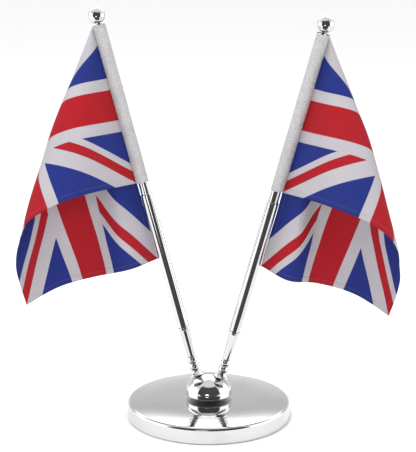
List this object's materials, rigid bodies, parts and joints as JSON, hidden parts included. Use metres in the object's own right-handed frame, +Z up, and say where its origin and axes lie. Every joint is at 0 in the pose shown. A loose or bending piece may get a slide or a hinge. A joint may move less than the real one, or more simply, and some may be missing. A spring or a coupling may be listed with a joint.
{
  "type": "desk flag stand",
  "caption": "Chromed desk flag stand: weighted round base, domed hub with leaning sockets, and telescopic poles that each carry a ball finial and a small cloth flag on a sleeve",
  "frame": {"origin": "centre of the felt pad's underside, on the desk", "axes": "+Z up; the poles lean out in the XZ plane, one towards -X and one towards +X; -Y is the front, where the flags' folds face"},
  "size_m": [0.2348, 0.1016, 0.2547],
  "materials": {
    "chrome": "mirror polished",
    "iron": "raw casting",
    "felt": "felt",
    "zinc_steel": "zinc plated",
    "nylon": "moulded",
    "sleeve_cloth": "white polyester",
    "flag_cloth": "printed polyester, dyed through"
  },
  "bodies": {
    "base": {"base_cover": "chrome", "base_weight": "iron", "felt_pad": "felt", "centre_screw": "zinc_steel", "screw_washer": "zinc_steel", "hub_dome": "chrome", "left_socket": "chrome", "right_socket": "chrome"},
    "left_pole": {"left_taper_ferrule": "chrome", "left_lower_tube": "chrome"},
    "left_mast": {"left_slide_plug": "nylon", "left_upper_tube": "chrome", "left_ball_finial": "chrome"},
    "left_flag": {"left_flag_sleeve": "sleeve_cloth", "left_flag_cloth": "flag_cloth"},
    "right_pole": {"right_taper_ferrule": "chrome", "right_lower_tube": "chrome"},
    "right_mast": {"right_slide_plug": "nylon", "right_upper_tube": "chrome", "right_ball_finial": "chrome"},
    "right_flag": {"right_flag_sleeve": "sleeve_cloth", "right_flag_cloth": "flag_cloth"}
  },
  "joints": [
    {"name": "left_pole_lift", "type": "slide", "parent": "base", "child": "left_pole", "axis": [-0.2689, 0, 0.9632], "range_m": [0, 0.012]},
    {"name": "left_telescope", "type": "slide", "parent": "left_pole", "child": "left_mast", "axis": [-0.2689, 0, 0.9632], "range_m": [-0.0065, 0.05]},
    {"name": "left_flag_swivel", "type": "hinge", "parent": "left_mast", "child": "left_flag", "pos_m": [-0.0061, 0, 0.02], "axis": [-0.2689, 0, 0.9632], "range_deg": [-80, 60]},
    {"name": "right_pole_lift", "type": "slide", "parent": "base", "child": "right_pole", "axis": [0.2689, 0, 0.9632], "range_m": [0, 0.012]},
    {"name": "right_telescope", "type": "slide", "parent": "right_pole", "child": "right_mast", "axis": [0.2689, 0, 0.9632], "range_m": [-0.0065, 0.05]},
    {"name": "right_flag_swivel", "type": "hinge", "parent": "right_mast", "child": "right_flag", "pos_m": [0.0061, 0, 0.02], "axis": [0.2689, 0, 0.9632], "range_deg": [-89, 51]}
  ]
}
